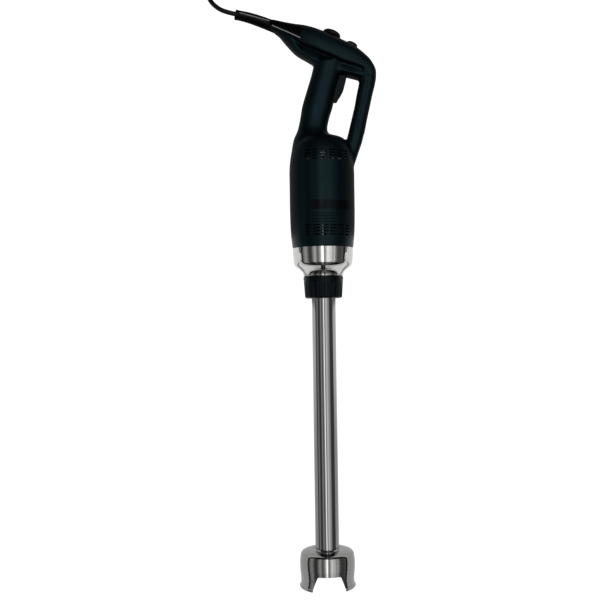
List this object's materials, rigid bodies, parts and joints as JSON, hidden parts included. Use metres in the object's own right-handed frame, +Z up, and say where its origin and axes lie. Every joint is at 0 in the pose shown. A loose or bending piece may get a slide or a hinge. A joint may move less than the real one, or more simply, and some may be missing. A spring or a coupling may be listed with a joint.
{
  "type": "immersion blender",
  "caption": "Hand-held commercial immersion blender with a barrel motor, D handle, long detachable steel shaft, bell blade guard and mains cord.",
  "frame": {"origin": "middle of the blender's own plan, on the table that it lies on", "axes": "+Y along the shaft from the blade guard towards the handle, +X towards the D handle, +Z up from the table"},
  "size_m": [0.2632, 1.0184, 0.0997],
  "materials": {
    "moulded": "satin, fine moulded grain",
    "cover": "satin",
    "controls": "satin",
    "trigger": "satin",
    "boot_rubber": "smooth, slightly glossy",
    "cord_jacket": "smooth",
    "plug_plastic": "satin",
    "label": "gloss film",
    "collar": "semi-gloss",
    "polished_nose": "mirror polished",
    "tube_steel": "polished stainless",
    "guard_steel": "polished stainless",
    "blade_steel": "ground",
    "shaft_steel": "turned",
    "fastener_steel": "zinc plated",
    "bearing_steel": "ground",
    "lamination": "stacked laminations",
    "winding": "enamelled copper wire",
    "copper": "turned copper",
    "brass": "plain",
    "carbon": "pressed graphite",
    "bracket_cast": "die cast",
    "bush_plastic": "plain",
    "seal_rubber": "lip seal",
    "fan_plastic": "moulded",
    "board": "glass epoxy board",
    "spring_steel": "wire",
    "pin_metal": "nickel plated"
  },
  "bodies": {
    "motor_body": {"housing_front_shell": "moulded", "housing_rear_shell": "moulded", "head_cover": "cover", "housing_screws": "fastener_steel", "label_plate": "label", "cord_boot": "boot_rubber", "cord_clamp": "controls", "clamp_screws": "fastener_steel", "trigger_pin": "shaft_steel", "trigger_spring": "spring_steel", "trigger_switch": "controls", "speed_potentiometer": "bearing_steel", "speed_board": "board", "lock_bracket": "fastener_steel", "lock_spring": "spring_steel", "motor_nose": "polished_nose", "seal_ring": "polished_nose", "stator_core": "lamination", "field_windings": "winding", "stator_pads": "seal_rubber", "bearing_bracket": "bracket_cast", "motor_bolts": "fastener_steel", "brush_holders": "brass", "carbon_brushes": "carbon", "brush_springs": "spring_steel", "lower_bearing": "bearing_steel", "upper_bearing": "bearing_steel", "power_cord": "cord_jacket", "cord_coil": "cord_jacket", "plug_lead": "cord_jacket", "plug_body": "plug_plastic", "plug_pins": "pin_metal"},
    "trigger": {"trigger_lever": "trigger"},
    "switch_button": {"switch_plunger": "fan_plastic"},
    "lock": {"lock_button": "controls"},
    "dial": {"speed_dial": "controls", "dial_shaft": "brass"},
    "rotor": {"motor_shaft": "shaft_steel", "armature_core": "lamination", "armature_windings": "winding", "commutator": "copper", "insulating_sleeves": "bush_plastic", "cooling_fan": "fan_plastic", "motor_coupling": "shaft_steel"},
    "shaft_assembly": {"tube_flange": "shaft_steel", "shaft_tube": "tube_steel", "upper_bush": "bush_plastic", "middle_bush": "bush_plastic", "lower_bush": "bush_plastic", "shaft_seal": "seal_rubber", "blade_guard": "guard_steel"},
    "collar": {"locking_collar": "collar"},
    "drive_line": {"drive_shaft": "shaft_steel", "cutting_blade": "blade_steel", "blade_nut": "shaft_steel"}
  },
  "joints": [
    {"name": "trigger_pull", "type": "hinge", "parent": "motor_body", "child": "trigger", "pos_m": [0.03737, 0.30403, 0.05178], "axis": [0, -0.0134, 0.9999], "range_deg": [0, 8], "stiffness_Nm_per_rad": 0.8, "springref_deg": -14.32, "deforming": ["trigger_spring"]},
    {"name": "switch_press", "type": "slide", "parent": "motor_body", "child": "switch_button", "axis": [-1, 0, 0], "range_m": [0, 0.0034]},
    {"name": "lock_press", "type": "slide", "parent": "motor_body", "child": "lock", "axis": [-0.4131, -0.9106, -0.0122], "range_m": [0, 0.0024], "stiffness_N_per_m": 800, "springref_m": -0.002, "deforming": ["lock_spring"]},
    {"name": "dial_turn", "type": "hinge", "parent": "motor_body", "child": "dial", "pos_m": [0.03987, 0.39962, 0.05306], "axis": [0.342, 0.9396, 0.0126], "range_deg": [0, 270]},
    {"name": "motor_spin", "type": "hinge", "parent": "motor_body", "child": "rotor", "pos_m": [0.02237, 0.13905, 0.04956], "axis": [0, 0.9999, 0.0134], "continuous": true},
    {"name": "shaft_release", "type": "slide", "parent": "motor_body", "child": "shaft_assembly", "axis": [0, -0.9999, -0.0134], "range_m": [0, 0.045]},
    {"name": "collar_turn", "type": "hinge", "parent": "shaft_assembly", "child": "collar", "pos_m": [0.02237, 0.01606, 0.04791], "axis": [0, 0.9999, 0.0134], "range_deg": [0, 120]},
    {"name": "drive_spin", "type": "hinge", "parent": "shaft_assembly", "child": "drive_line", "pos_m": [0.02237, -0.19092, 0.04514], "axis": [0, 0.9999, 0.0134], "continuous": true}
  ],
  "couplings": [
    {"joint": "drive_spin", "follows": "motor_spin", "ratio": 1},
    {"joint": "switch_press", "follows": "trigger_pull", "m_per_rad": 0.0215}
  ]
}
